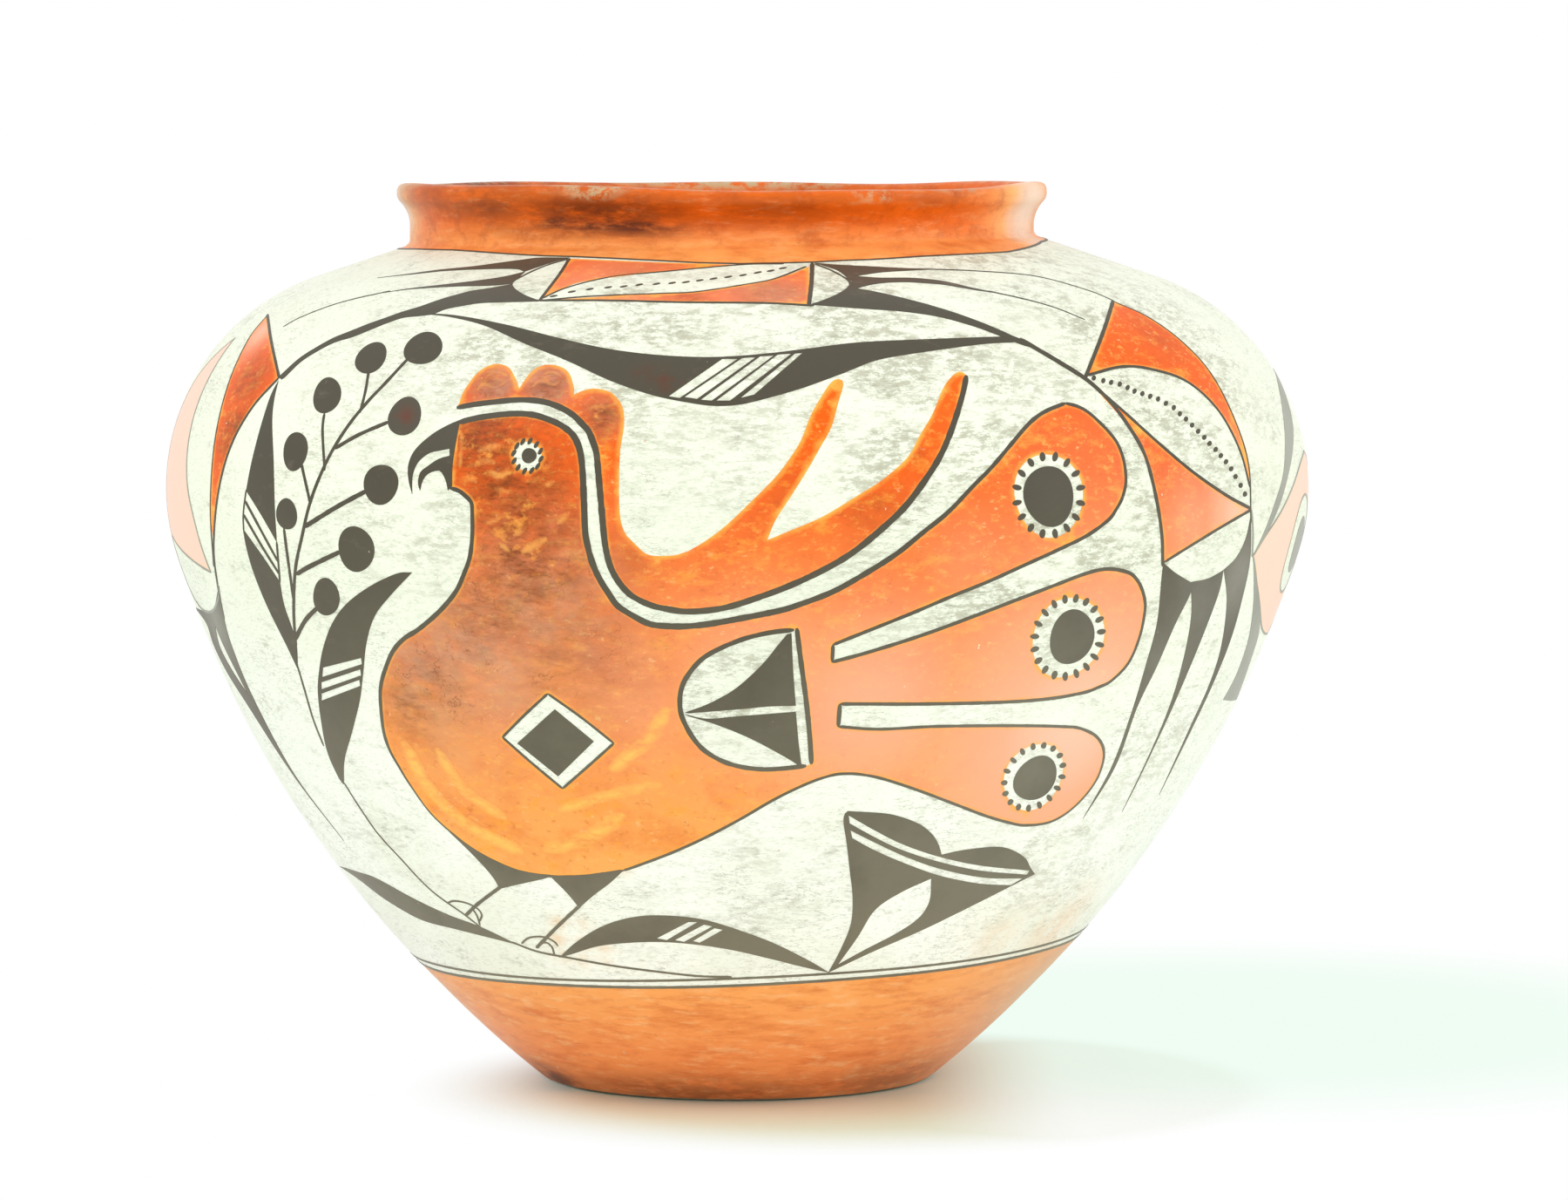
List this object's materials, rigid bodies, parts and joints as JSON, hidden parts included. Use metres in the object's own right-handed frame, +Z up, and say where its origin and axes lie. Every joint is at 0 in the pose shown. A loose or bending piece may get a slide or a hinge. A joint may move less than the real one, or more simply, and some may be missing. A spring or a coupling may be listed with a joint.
{
  "type": "pueblo pottery jar",
  "caption": "Wide-shouldered coil-built earthenware water jar on a small dished base, with a low flared neck and thin coats of orange and white slip.",
  "frame": {"origin": "on the table plane, under the middle of the belly", "axes": "+Z up through the body, -Y towards the viewer of the bird panel, +X to the right; the neck stands 4 mm off this axis towards -X"},
  "size_m": [0.3064, 0.3064, 0.241],
  "materials": {
    "fired_clay": "low-fired earthenware, scraped and left matt",
    "orange_slip": "stone-polished orange slip, worn",
    "white_slip": "stone-polished white slip with painted ornament, lightly scuffed"
  },
  "bodies": {
    "root": {"base_pad": "fired_clay", "body_coil_01": "fired_clay", "body_coil_02": "fired_clay", "body_coil_03": "fired_clay", "body_coil_04": "fired_clay", "body_coil_05": "fired_clay", "body_coil_06": "fired_clay", "body_coil_07": "fired_clay", "body_coil_08": "fired_clay", "body_coil_09": "fired_clay", "body_coil_10": "fired_clay", "neck_coil": "fired_clay", "rim_coil": "fired_clay", "underbody_orange_slip": "orange_slip", "body_white_slip": "white_slip", "neck_orange_slip": "orange_slip"}
  },
  "joints": []
}
